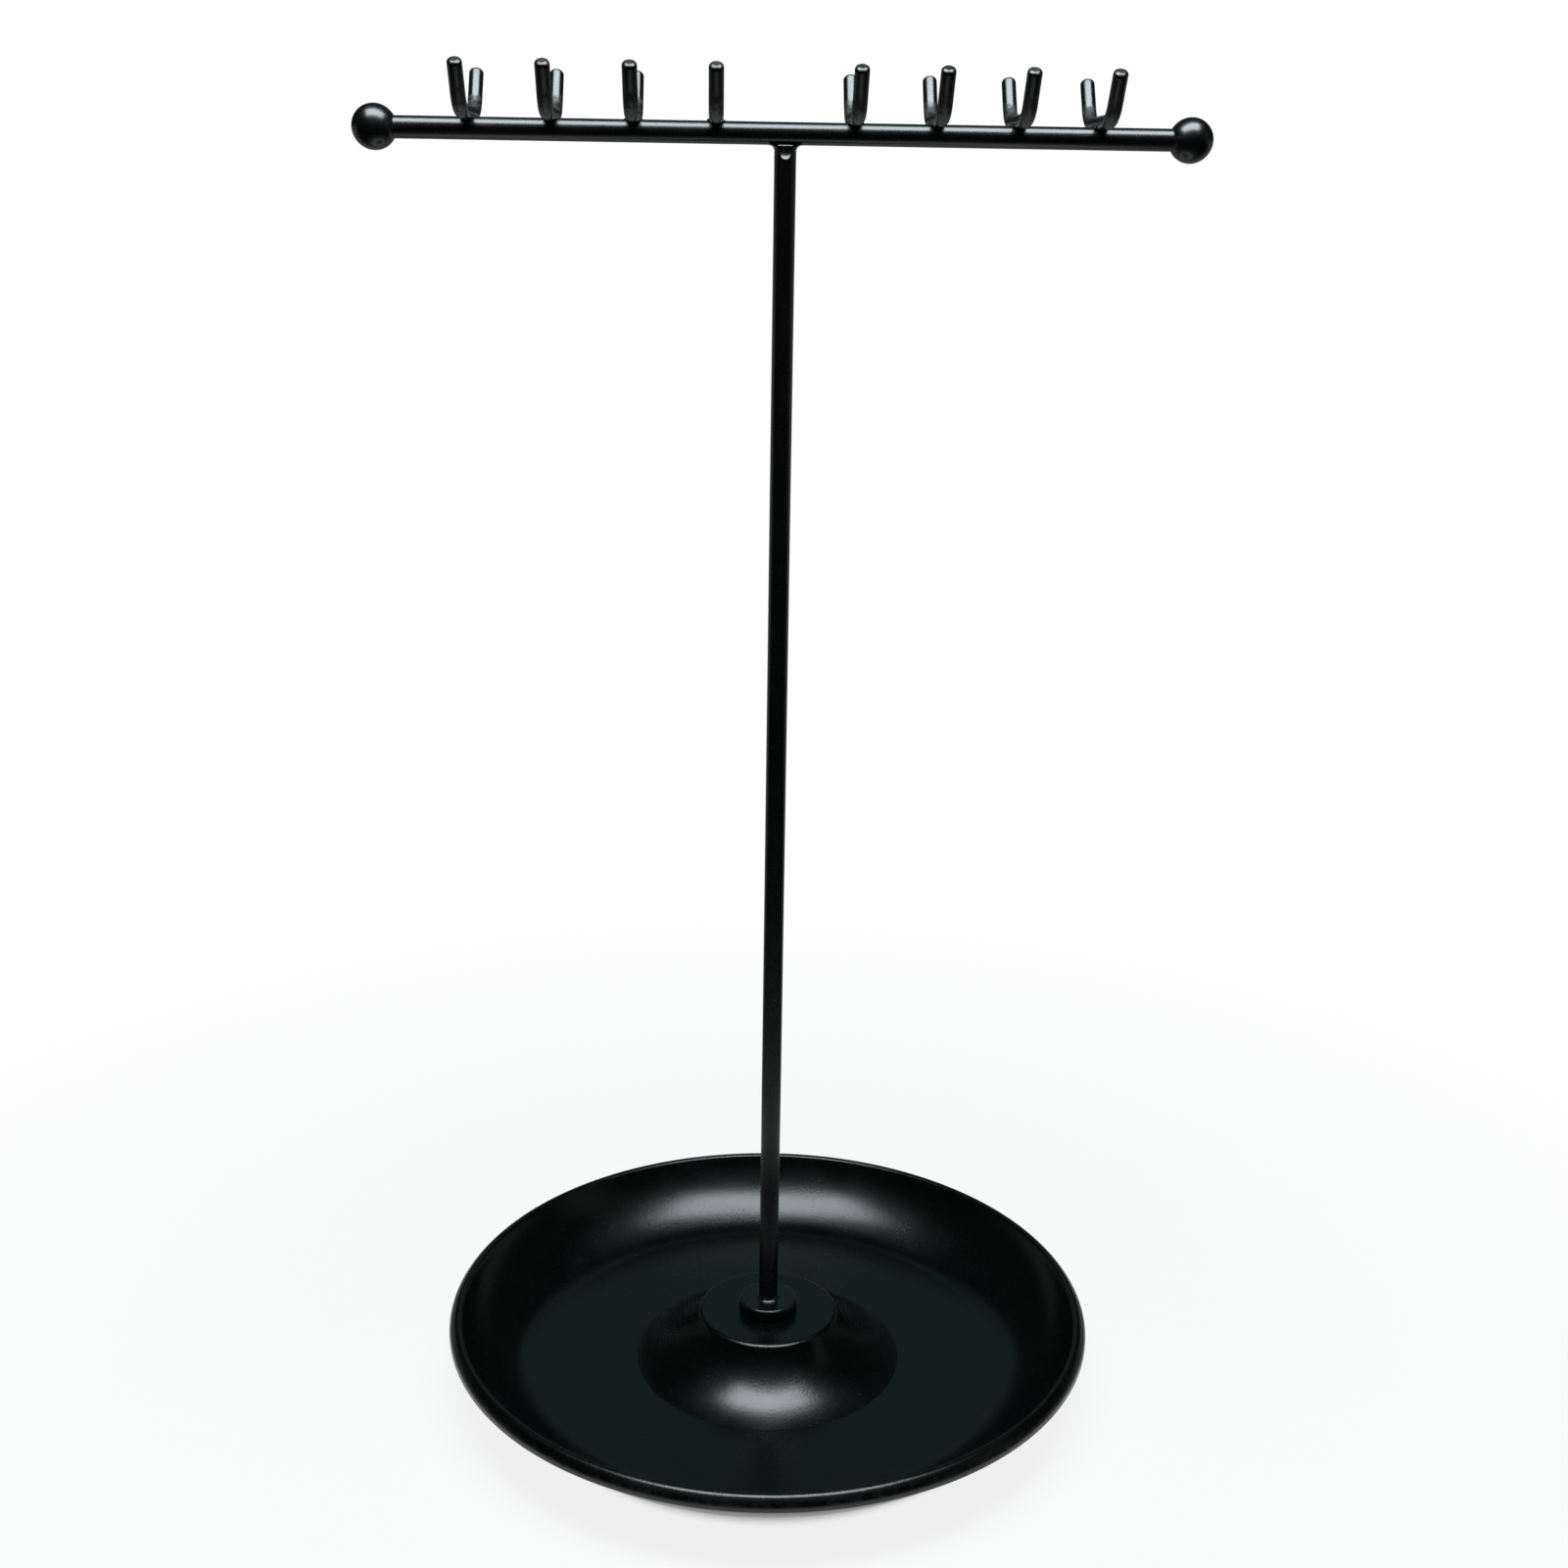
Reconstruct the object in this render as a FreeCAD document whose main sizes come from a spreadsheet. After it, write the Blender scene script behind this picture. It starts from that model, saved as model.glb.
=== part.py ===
"""A free-standing jewellery stand: a T-shaped mast with wire cradles, held on a round dish by one nut.

The origin is on the table under the post, +Z is up and the crossbar runs along X.
"""
import FreeCAD
import Part
import Sketcher
import math
import os

# Driving dimensions, in millimetres and degrees
SIZES = {
    # Whole stand, from the table to the tops of the prongs
    "stand_height": 200.0,
    # Dish, pressed from sheet
    "sheet_thickness": 1.1,
    "dish_diameter": 102.2,
    "rim_width": 1.9,
    "lip_width": 0.8,
    "lip_round": 0.3,
    "rim_fall": 1.35,
    "rim_land": 0.85,
    "crest_round": 0.9,
    "rim_round": 1.5,
    "rim_edge_round": 0.2,
    "dish_depth": 9.9,
    "floor_diameter": 77.6,
    "cove_radius": 18.5,
    "boss_foot_diameter": 42.6,
    "boss_top_diameter": 22.0,
    "boss_height": 8.2,
    "flank_radius": 12.5,
    "edge_round": 0.45,
    # Soft ring under the dish's floor
    "pad_thickness": 1.2,
    "pad_inset": 2.3,
    "pad_width": 13.5,
    # Post and crossbar, cut from the same round rod
    "rod_diameter": 3.0,
    "rod_chamfer": 0.3,
    "stud_clearance": 0.08,
    "cope_rise": 1.0,
    "clamp_mark_radius": 1.6,
    "clamp_mark_depth": 0.5,
    "clamp_mark_length": 2.3,
    "collar_diameter": 9.3,
    "collar_height": 2.05,
    "collar_round": 0.35,
    "collar_chamfer": 0.2,
    # End balls
    "ball_span": 110.8,
    "ball_diameter": 6.1,
    "ball_socket_depth": 4.0,
    # Wire cradles on the crossbar
    "hook_inner_offset": 9.4,
    "hook_end_gap": 12.5,
    "hook_wire_diameter": 2.0,
    "hook_set_down": 0.5,
    "hook_flat_length": 10.8,
    "hook_bend_radius": 5.0,
    "hook_lean": 35.0,
    "hook_reach": 8.4,
    "hook_tip_round": 0.45,
    # Welds
    "weld_leg": 0.8,
    "weld_width": 2.2,
    "collar_weld_leg": 0.5,
    "hook_weld_leg": 0.35,
    "hook_weld_reach": 1.4,
    "hook_weld_height": 0.6,
    # Fastening inside the boss
    "washer_diameter": 7.0,
    "washer_bore": 3.2,
    "washer_thickness": 0.5,
    "spring_washer_diameter": 6.2,
    "spring_washer_thickness": 0.8,
    "spring_washer_slit": 0.7,
    "nut_across_flats": 5.5,
    "nut_height": 2.4,
    "nut_chamfer_angle": 30.0,
    "stud_overhang": 0.8,
}
HOOKS_PER_SIDE = 4
NUT_SIDES = 6

# Heights above the table, as texts that the sheet works out
FLOOR_TOP = "Sizes.pad_thickness + Sizes.sheet_thickness"
RIM_TOP = f"{FLOOR_TOP} + Sizes.dish_depth"
BOSS_TOP = f"{FLOOR_TOP} + Sizes.boss_height"
BOSS_UNDER = f"{BOSS_TOP} - Sizes.sheet_thickness"
COLLAR_TOP = f"{BOSS_TOP} + Sizes.collar_height"
BAR_AXIS = "(Sizes.stand_height - Sizes.hook_reach)"
WASHER_UNDER = f"{BOSS_UNDER} - Sizes.washer_thickness"
SPRING_UNDER = f"{WASHER_UNDER} - Sizes.spring_washer_thickness"
NUT_UNDER = f"{SPRING_UNDER} - Sizes.nut_height"
STUD_END = f"{NUT_UNDER} - Sizes.stud_overhang"

# Half sizes that several pieces share
ROD_RADIUS = "Sizes.rod_diameter / 2"
WIRE_RADIUS = "Sizes.hook_wire_diameter / 2"
HOOK_SEAT = f"{ROD_RADIUS} + {WIRE_RADIUS} - Sizes.hook_set_down"

# Middle of a prong's end face above the crossbar's axis, below the top of its rounded edge
HOOK_LEAN = "(Sizes.hook_lean * 1 deg)"
TIP_SIDE = f"({WIRE_RADIUS} - Sizes.hook_tip_round) * sin({HOOK_LEAN})"
TIP_EDGE = f"Sizes.hook_tip_round * (1 - cos({HOOK_LEAN}))"
HOOK_TIP = f"Sizes.hook_reach - {TIP_SIDE} - {TIP_EDGE}"

# The outermost cradle stands clear of the ball, and the rest are evenly spaced up to the innermost
HOOK_PITCH = f"(Sizes.ball_span / 2 - Sizes.hook_end_gap - Sizes.hook_inner_offset) / {HOOKS_PER_SIDE - 1}"

TOLERANCE = 1e-4

doc = FreeCAD.newDocument("JewelleryStand")
sheet = doc.addObject("Spreadsheet::Sheet", "Sizes")
for row, (alias, number) in enumerate(SIZES.items(), start=1):
    sheet.set(f"A{row}", alias.replace("_", " "))
    sheet.set(f"B{row}", str(number))
    sheet.setAlias(f"B{row}", alias)
doc.recompute()

nodes = []


def value(text):
    """The number that a text of sheet sizes works out to."""
    return float(sheet.evalExpression(text))


def new_body(name, height="0"):
    """An empty body, one piece of the stand, lifted to its height above the table."""
    body = doc.addObject("PartDesign::Body", name)
    body.Label = name
    body.setExpression("Placement.Base.z", height)
    nodes.append(body)
    return body


def origin_plane(body, role):
    """One of a body's own origin planes."""
    return next(plane for plane in body.Origin.OriginFeatures if plane.Role == role)


def new_sketch(body, role, name):
    """A sketch on one of a body's origin planes."""
    sketch = body.newObject("Sketcher::SketchObject", name)
    sketch.AttachmentSupport = [(origin_plane(body, role), "")]
    sketch.MapMode = "FlatFace"
    return sketch


def constrain(sketch, text, *what):
    """A dimension whose size comes from the sheet."""
    number = sketch.addConstraint(Sketcher.Constraint(*what, value(text)))
    sketch.setExpression(f"Constraints[{number}]", text)


def circle(sketch, diameter, height=None):
    """A circle round the sketch's origin, or above it at a height."""
    up = value(height) if height else 0
    centre = FreeCAD.Vector(0, up, 0)
    ring = sketch.addGeometry(Part.Circle(centre, FreeCAD.Vector(0, 0, 1), value(diameter) / 2))
    if height:
        sketch.addConstraint(Sketcher.Constraint("PointOnObject", ring, 3, -2))
        constrain(sketch, height, "DistanceY", -1, 1, ring, 3)
    else:
        sketch.addConstraint(Sketcher.Constraint("Coincident", ring, 3, -1, 1))
    constrain(sketch, diameter, "Diameter", ring)
    return ring


def arc_between(start, end, radius, turn):
    """An arc from start to end, turning left for 1 and right for -1."""
    chord = end - start
    across = FreeCAD.Vector(-chord.y, chord.x, 0).normalize()
    centre = (start + end) / 2 + across * (turn * math.sqrt(radius ** 2 - (chord.Length / 2) ** 2))
    first, last = (start, end) if turn > 0 else (end, start)
    angles = [math.atan2(point.y - centre.y, point.x - centre.x) for point in (first, last)]
    return Part.ArcOfCircle(Part.Circle(centre, FreeCAD.Vector(0, 0, 1), radius), *angles)


def outline(sketch, corners, concentric=()):
    """A closed outline, drawn from corner to corner.

    A corner is (x, y), or (x, y, radius, turn) where an arc leaves it. A coordinate after a tilde is only a
    first guess, which the arcs settle. concentric pairs sides that turn about one centre.
    """
    first = sketch.GeometryCount
    count = len(corners)
    places = [FreeCAD.Vector(*(value(text.strip("~")) for text in corner[:2]), 0) for corner in corners]
    ends = []
    for number, corner in enumerate(corners):
        start, end = places[number], places[(number + 1) % count]
        if len(corner) == 2:
            sketch.addGeometry(Part.LineSegment(start, end))
            ends.append((1, 2))
        else:
            radius, turn = corner[2:]
            sketch.addGeometry(arc_between(start, end, value(radius), turn))
            ends.append((1, 2) if turn > 0 else (2, 1))
    for number, corner in enumerate(corners):
        side, following = first + number, first + (number + 1) % count
        next_start = ends[(number + 1) % count][0]
        sketch.addConstraint(Sketcher.Constraint("Coincident", side, ends[number][1], following, next_start))
        for axis, text in zip(("DistanceX", "DistanceY"), corner):
            if text == "0":
                line = -2 if axis == "DistanceX" else -1
                sketch.addConstraint(Sketcher.Constraint("PointOnObject", side, ends[number][0], line))
            elif not text.startswith("~"):
                constrain(sketch, text, axis, -1, 1, side, ends[number][0])
        if len(corner) == 4:
            constrain(sketch, corner[2], "Radius", side)
    for one, other in concentric:
        sketch.addConstraint(Sketcher.Constraint("Coincident", first + one, 3, first + other, 3))


def pad(body, sketch, length, symmetric=False):
    """Material as deep as length, upward or to both sides of the sketch."""
    feature = body.newObject("PartDesign::Pad", f"{body.Name}_Pad")
    feature.Profile = sketch
    feature.SideType = "Symmetric" if symmetric else "One side"
    feature.setExpression("Length", length)
    doc.recompute()
    return feature


def revolve(body, sketch):
    """Material turned round the sketch's upright axis."""
    feature = body.newObject("PartDesign::Revolution", f"{body.Name}_Revolution")
    feature.Profile = sketch
    feature.ReferenceAxis = (sketch, ["V_Axis"])
    doc.recompute()
    return feature


def check_cut(body, before):
    """Stops if a cut has taken nothing away."""
    doc.recompute()
    if body.Shape.Volume > before - TOLERANCE:
        raise RuntimeError(f"a cut in {body.Label} removes nothing")


def pocket(body, sketch):
    """A cut right through the body, to both sides of the sketch."""
    before = body.Shape.Volume
    feature = body.newObject("PartDesign::Pocket", f"{body.Name}_Pocket")
    feature.Profile = sketch
    feature.Type = "ThroughAll"
    feature.SideType = "Symmetric"
    check_cut(body, before)
    return feature


def groove(body, sketch, axis="V_Axis"):
    """A cut turned round an axis of the sketch."""
    before = body.Shape.Volume
    feature = body.newObject("PartDesign::Groove", f"{body.Name}_Groove")
    feature.Profile = sketch
    feature.ReferenceAxis = (sketch, [axis])
    check_cut(body, before)
    return feature


def mirror(body, feature, role):
    """A feature repeated on the other side of an origin plane."""
    mirrored = body.newObject("PartDesign::Mirrored", f"{body.Name}_Mirrored")
    mirrored.Originals = [feature]
    mirrored.MirrorPlane = (origin_plane(body, role), [""])
    body.Tip = mirrored
    doc.recompute()
    return mirrored


def circles_where(feature, test):
    """Names of a feature's circular edges that pass a test of their circle."""
    edges = enumerate(feature.Shape.Edges, start=1)
    return [f"Edge{number}" for number, edge in edges if isinstance(edge.Curve, Part.Circle) and test(edge.Curve)]


def ring_edges(feature, *rings):
    """Names of the circles of given radius and height on a feature, as (radius, height) pairs of texts."""
    wanted = [(value(radius), value(height)) for radius, height in rings]

    def is_wanted(curve):
        found = ((curve.Radius - radius, curve.Center.z - height) for radius, height in wanted)
        return any(math.hypot(*miss) < TOLERANCE for miss in found)

    return circles_where(feature, is_wanted)


def round_edges(body, feature, edges, radius):
    """A fillet on named edges of the body's last feature."""
    fillet = body.newObject("PartDesign::Fillet", f"{body.Name}_Fillet")
    fillet.Base = (feature, edges)
    fillet.setExpression("Radius", radius)
    doc.recompute()
    return fillet


def bevel_edges(body, feature, edges, size):
    """A chamfer on named edges of the body's last feature."""
    chamfer = body.newObject("PartDesign::Chamfer", f"{body.Name}_Chamfer")
    chamfer.Base = (feature, edges)
    chamfer.setExpression("Size", size)
    doc.recompute()
    return chamfer


def make_dish():
    """Sheet dish: rim rolled outwards, coved wall, flat floor and a hollow boss with a hollowed flank."""
    body = new_body("dish")
    sketch = new_sketch(body, "XZ_Plane", "DishProfile")
    hole = f"{ROD_RADIUS} + Sizes.stud_clearance"
    boss = "Sizes.boss_top_diameter / 2"
    foot = "Sizes.boss_foot_diameter / 2"
    floor = "Sizes.floor_diameter / 2"
    rim = "Sizes.dish_diameter / 2"
    wall = f"{rim} - Sizes.rim_width"
    crest = f"{wall} + Sizes.lip_width"
    rim_turn = f"{RIM_TOP} - Sizes.rim_fall"
    rim_under = f"{rim_turn} - Sizes.rim_land"
    flank_under = "Sizes.flank_radius + Sizes.sheet_thickness"
    cove_outside = "Sizes.cove_radius + Sizes.sheet_thickness"
    corners = [
        (hole, BOSS_TOP),
        (boss, BOSS_TOP, "Sizes.flank_radius", 1),
        (foot, FLOOR_TOP),
        (floor, FLOOR_TOP, "Sizes.cove_radius", 1),
        (wall, RIM_TOP),
        (crest, RIM_TOP),
        (rim, rim_turn),
        (rim, rim_under),
        (f"~{wall} + Sizes.sheet_thickness", rim_under, cove_outside, -1),
        (f"~{floor}", "Sizes.pad_thickness"),
        (f"~{foot}", "Sizes.pad_thickness", flank_under, -1),
        (f"~{boss} - Sizes.sheet_thickness", BOSS_UNDER),
        (hole, BOSS_UNDER),
    ]
    flank, cove, cove_below, flank_below = 1, 3, 8, 10
    outline(sketch, corners, concentric=((flank, flank_below), (cove, cove_below)))
    shell = revolve(body, sketch)
    soft_boss = round_edges(body, shell, ring_edges(shell, (boss, BOSS_TOP)), "Sizes.edge_round")
    soft_lip = round_edges(body, soft_boss, ring_edges(soft_boss, (wall, RIM_TOP)), "Sizes.lip_round")
    rolled = round_edges(body, soft_lip, ring_edges(soft_lip, (crest, RIM_TOP)), "Sizes.crest_round")
    outer = round_edges(body, rolled, ring_edges(rolled, (rim, rim_turn)), "Sizes.rim_round")
    round_edges(body, outer, ring_edges(outer, (rim, rim_under)), "Sizes.rim_edge_round")


def make_base_pad():
    """Soft ring glued under the dish's floor."""
    body = new_body("base_pad")
    sketch = new_sketch(body, "XY_Plane", "PadRing")
    outer = "(Sizes.floor_diameter - 2 * Sizes.pad_inset)"
    circle(sketch, outer)
    circle(sketch, f"{outer} - 2 * Sizes.pad_width")
    pad(body, sketch, "Sizes.pad_thickness")


def make_collar():
    """Shoulder on the post that sits on the boss."""
    body = new_body("collar", BOSS_TOP)
    sketch = new_sketch(body, "XY_Plane", "CollarRing")
    circle(sketch, "Sizes.collar_diameter")
    circle(sketch, "Sizes.rod_diameter")
    ring = pad(body, sketch, "Sizes.collar_height")
    edge_radius = "Sizes.collar_diameter / 2"
    rounded = round_edges(body, ring, ring_edges(ring, (edge_radius, "Sizes.collar_height")), "Sizes.collar_round")
    bevel_edges(body, rounded, ring_edges(rounded, (edge_radius, "0")), "Sizes.collar_chamfer")


def make_collar_weld():
    """Hollow weld ring in the corner between collar and post."""
    body = new_body("collar_weld", COLLAR_TOP)
    sketch = new_sketch(body, "XZ_Plane", "CollarWeldSection")
    leg = "Sizes.collar_weld_leg"
    toe = f"{ROD_RADIUS} + {leg}"
    outline(sketch, [(ROD_RADIUS, "0"), (toe, "0", leg, -1), (ROD_RADIUS, leg)])
    revolve(body, sketch)


def make_post():
    """Rod from below the nut to the crossbar, with its top end coped to the crossbar and marked by the clamp."""
    body = new_body("post", STUD_END)
    bar_height = f"{BAR_AXIS} - ({STUD_END})"
    sketch = new_sketch(body, "XY_Plane", "PostSection")
    circle(sketch, "Sizes.rod_diameter")
    rod = pad(body, sketch, f"{bar_height} - {ROD_RADIUS} + Sizes.cope_rise")
    bevel_edges(body, rod, ring_edges(rod, (ROD_RADIUS, "0")), "Sizes.rod_chamfer")
    cope = new_sketch(body, "YZ_Plane", "PostCope")
    circle(cope, "Sizes.rod_diameter", bar_height)
    pocket(body, cope)
    cutter = new_sketch(body, "YZ_Plane", "ClampMark")
    radius = "Sizes.clamp_mark_radius"
    axis_out = f"{ROD_RADIUS} + {radius} - Sizes.clamp_mark_depth"
    surface = f"{ROD_RADIUS} - Sizes.clamp_mark_depth"
    top = bar_height
    shoulder = f"{bar_height} - {ROD_RADIUS} - Sizes.clamp_mark_length + {radius}"
    nose = f"{shoulder} - {radius}"
    outline(cutter, [(axis_out, nose), (axis_out, top), (surface, top), (surface, shoulder, radius, 1)])
    mark = groove(body, cutter, "Edge1")
    mirror(body, mark, "XZ_Plane")


def make_crossbar():
    """Rod across the top of the post, its ends inside the balls."""
    body = new_body("crossbar", BAR_AXIS)
    sketch = new_sketch(body, "YZ_Plane", "CrossbarSection")
    circle(sketch, "Sizes.rod_diameter")
    rod = pad(body, sketch, "Sizes.ball_span - Sizes.ball_diameter + 2 * Sizes.ball_socket_depth", symmetric=True)
    ends = circles_where(rod, lambda curve: True)
    bevel_edges(body, rod, ends, "Sizes.rod_chamfer")


def make_bar_weld():
    """Two hollow weld beads in the corners between post and crossbar."""
    leg = "Sizes.weld_leg"
    body = new_body("bar_weld", f"{BAR_AXIS} - {ROD_RADIUS} - {leg}")
    body.AllowCompound = True
    section = new_sketch(body, "XZ_Plane", "BarWeldSection")
    toe = f"{ROD_RADIUS} + {leg}"
    top = f"{leg} + Sizes.cope_rise"
    outline(section, [(ROD_RADIUS, "0", leg, -1), (toe, leg), (toe, top), (ROD_RADIUS, top)])
    revolve(body, section)
    trim = new_sketch(body, "YZ_Plane", "BarWeldTrim")
    side = "Sizes.weld_width / 2"
    outside = f"2 * ({toe})"
    outline(trim, [(side, "0"), (outside, "0"), (outside, top), (side, top)])
    mirror(body, pocket(body, trim), "XZ_Plane")
    bar = new_sketch(body, "YZ_Plane", "BarWeldSeat")
    circle(bar, "Sizes.rod_diameter", f"{leg} + {ROD_RADIUS}")
    pocket(body, bar)


def make_ball(name, side):
    """End ball with a blind hole for the crossbar; side is -1 for left and 1 for right."""
    ball = doc.addObject("Part::Sphere", f"{name}_blank")
    ball.setExpression("Radius", "Sizes.ball_diameter / 2")
    ball.setExpression("Placement.Base.x", f"{side} * Sizes.ball_span / 2")
    ball.setExpression("Placement.Base.z", BAR_AXIS)
    drill = doc.addObject("Part::Cylinder", f"{name}_drill")
    drill.Placement.Rotation = FreeCAD.Rotation(FreeCAD.Vector(0, 1, 0), 90 * side)
    drill.setExpression("Radius", ROD_RADIUS)
    drill.setExpression("Height", "Sizes.ball_span / 2 - Sizes.ball_diameter / 2 + Sizes.ball_socket_depth")
    drill.setExpression("Placement.Base.z", BAR_AXIS)
    drilled = doc.addObject("Part::Cut", name)
    drilled.Label = name
    drilled.Base = ball
    drilled.Tool = drill
    nodes.append(drilled)


def hook_places():
    """Texts for the cradles' places along the crossbar, from left to right."""
    places = [f"Sizes.hook_inner_offset + {step} * {HOOK_PITCH}" for step in range(HOOKS_PER_SIDE)]
    return [f"-({place})" for place in reversed(places)] + places


def make_hook(name, place):
    """Wire cradle: a flat across the crossbar, a bend up at each end and two prongs that lean outwards."""
    body = new_body(name, BAR_AXIS)
    body.setExpression("Placement.Base.x", place)
    seat, bend, tip = value(HOOK_SEAT), value("Sizes.hook_bend_radius"), value(HOOK_TIP)
    half_flat = value("Sizes.hook_flat_length / 2")
    rise = math.radians(90 - value("Sizes.hook_lean"))
    bend_centre = FreeCAD.Vector(half_flat, seat + bend, 0)
    bend_end = bend_centre + FreeCAD.Vector(math.sin(rise), -math.cos(rise), 0) * bend
    prong_end = bend_end + FreeCAD.Vector(1 / math.tan(rise), 1, 0) * (tip - bend_end.y)
    bend_circle = Part.Circle(bend_centre, FreeCAD.Vector(0, 0, 1), bend)
    path = new_sketch(body, "YZ_Plane", f"{name}_Path")
    flat = path.addGeometry(Part.LineSegment(FreeCAD.Vector(0, seat, 0), FreeCAD.Vector(half_flat, seat, 0)))
    elbow = path.addGeometry(Part.ArcOfCircle(bend_circle, -math.pi / 2, rise - math.pi / 2))
    prong = path.addGeometry(Part.LineSegment(bend_end, prong_end))
    path.addConstraint(Sketcher.Constraint("PointOnObject", flat, 1, -2))
    path.addConstraint(Sketcher.Constraint("Horizontal", flat))
    path.addConstraint(Sketcher.Constraint("Tangent", flat, 2, elbow, 1))
    path.addConstraint(Sketcher.Constraint("Tangent", elbow, 2, prong, 1))
    constrain(path, HOOK_SEAT, "DistanceY", -1, 1, flat, 1)
    constrain(path, "Sizes.hook_flat_length / 2", "DistanceX", -1, 1, flat, 2)
    constrain(path, "Sizes.hook_bend_radius", "Radius", elbow)
    constrain(path, HOOK_TIP, "DistanceY", -1, 1, prong, 2)
    lean = path.addConstraint(Sketcher.Constraint("Angle", prong, rise))
    path.setExpression(f"Constraints[{lean}]", f"90 deg - {HOOK_LEAN}")
    section = new_sketch(body, "XZ_Plane", f"{name}_Section")
    circle(section, "Sizes.hook_wire_diameter", HOOK_SEAT)
    wire = body.newObject("PartDesign::AdditivePipe", f"{name}_Wire")
    wire.Profile = section
    wire.Spine = (path, ["Edge1", "Edge2", "Edge3"])
    doc.recompute()
    whole = mirror(body, wire, "XZ_Plane")
    tips = circles_where(whole, lambda curve: abs(abs(curve.Center.y) - prong_end.x) < TOLERANCE)
    round_edges(body, whole, tips, "Sizes.hook_tip_round")
    saddle = new_sketch(body, "YZ_Plane", f"{name}_Saddle")
    circle(saddle, "Sizes.rod_diameter")
    pocket(body, saddle)


def lay_rod(name, radius, length, axis):
    """A round rod centred on the crossbar's axis plane, along X or Y, used as a cutter."""
    rod = doc.addObject("Part::Cylinder", name)
    rod.Placement.Rotation = FreeCAD.Rotation(FreeCAD.Vector(0, 0, 1), axis)
    rod.setExpression("Radius", radius)
    rod.setExpression("Height", length)
    return rod


def make_hook_welds(places):
    """Small beads in the corners between every cradle and the crossbar."""
    span = "Sizes.ball_span"
    bar = lay_rod("weld_bar", ROD_RADIUS, span, FreeCAD.Vector(1, 0, 0))
    bar.setExpression("Placement.Base.x", f"-{span} / 2")
    bar.setExpression("Placement.Base.z", BAR_AXIS)
    blanks, cutters = [], [bar]
    for number, place in enumerate(places, start=1):
        blank = doc.addObject("Part::Ellipsoid", f"weld_blank_{number}")
        blank.setExpression("Radius1", "Sizes.hook_weld_height")
        blank.setExpression("Radius2", f"{WIRE_RADIUS} + Sizes.hook_weld_leg")
        blank.setExpression("Radius3", "Sizes.hook_weld_reach")
        blank.setExpression("Placement.Base.x", place)
        blank.setExpression("Placement.Base.z", f"{BAR_AXIS} + {ROD_RADIUS}")
        wire = lay_rod(f"weld_wire_{number}", WIRE_RADIUS, "Sizes.hook_flat_length", FreeCAD.Vector(0, 1, 0))
        wire.setExpression("Placement.Base.x", place)
        wire.setExpression("Placement.Base.y", "-Sizes.hook_flat_length / 2")
        wire.setExpression("Placement.Base.z", f"{BAR_AXIS} + {HOOK_SEAT}")
        blanks.append(blank)
        cutters.append(wire)
    beads = doc.addObject("Part::MultiFuse", "weld_blanks")
    beads.Shapes = blanks
    rods = doc.addObject("Part::MultiFuse", "weld_rods")
    rods.Shapes = cutters
    welds = doc.addObject("Part::Cut", "hook_welds")
    welds.Label = "hook_welds"
    welds.Base = beads
    welds.Tool = rods
    nodes.append(welds)


def make_flat_washer():
    """Plain washer under the boss's top."""
    body = new_body("flat_washer", WASHER_UNDER)
    sketch = new_sketch(body, "XY_Plane", "WasherRing")
    circle(sketch, "Sizes.washer_diameter")
    circle(sketch, "Sizes.washer_bore")
    pad(body, sketch, "Sizes.washer_thickness")


def make_spring_washer():
    """Split washer, pressed flat by the nut."""
    body = new_body("spring_washer", SPRING_UNDER)
    sketch = new_sketch(body, "XY_Plane", "SpringWasherRing")
    circle(sketch, "Sizes.spring_washer_diameter")
    circle(sketch, "Sizes.washer_bore")
    pad(body, sketch, "Sizes.spring_washer_thickness")
    split = new_sketch(body, "XY_Plane", "SpringWasherSplit")
    slit, far = "Sizes.spring_washer_slit", "Sizes.spring_washer_diameter"
    outline(split, [("0", "0"), (slit, "0"), (slit, far), ("0", far)])
    pocket(body, split)


def make_hex_nut():
    """Hexagon nut with both faces chamfered at the corners."""
    body = new_body("hex_nut", NUT_UNDER)
    corner_radius = f"Sizes.nut_across_flats / 2 / cos({180 / NUT_SIDES} deg)"
    sketch = new_sketch(body, "XY_Plane", "NutHexagon")
    guide = circle(sketch, f"2 * {corner_radius}")
    sketch.toggleConstruction(guide)
    turns = [2 * math.pi * side / NUT_SIDES for side in range(NUT_SIDES)]
    points = [FreeCAD.Vector(math.cos(turn), math.sin(turn), 0) * value(corner_radius) for turn in turns]
    sides = [sketch.addGeometry(Part.LineSegment(points[side - 1], points[side])) for side in range(NUT_SIDES)]
    for side in range(NUT_SIDES):
        sketch.addConstraint(Sketcher.Constraint("Coincident", sides[side - 1], 2, sides[side], 1))
        sketch.addConstraint(Sketcher.Constraint("PointOnObject", sides[side], 2, guide))
    for side in sides[1:]:
        sketch.addConstraint(Sketcher.Constraint("Equal", sides[0], side))
    sketch.addConstraint(Sketcher.Constraint("PointOnObject", sides[0], 2, -1))
    circle(sketch, "Sizes.rod_diameter")
    pad(body, sketch, "Sizes.nut_height")
    bevel = new_sketch(body, "XZ_Plane", "NutBevel")
    flat = "Sizes.nut_across_flats / 2"
    far = "Sizes.nut_across_flats"
    drop = f"{flat} * tan(Sizes.nut_chamfer_angle * 1 deg)"
    top = "Sizes.nut_height"
    outline(bevel, [(flat, "0"), (far, "0"), (far, drop)])
    outline(bevel, [(flat, top), (far, f"{top} - {drop}"), (far, top)])
    groove(body, bevel)


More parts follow.
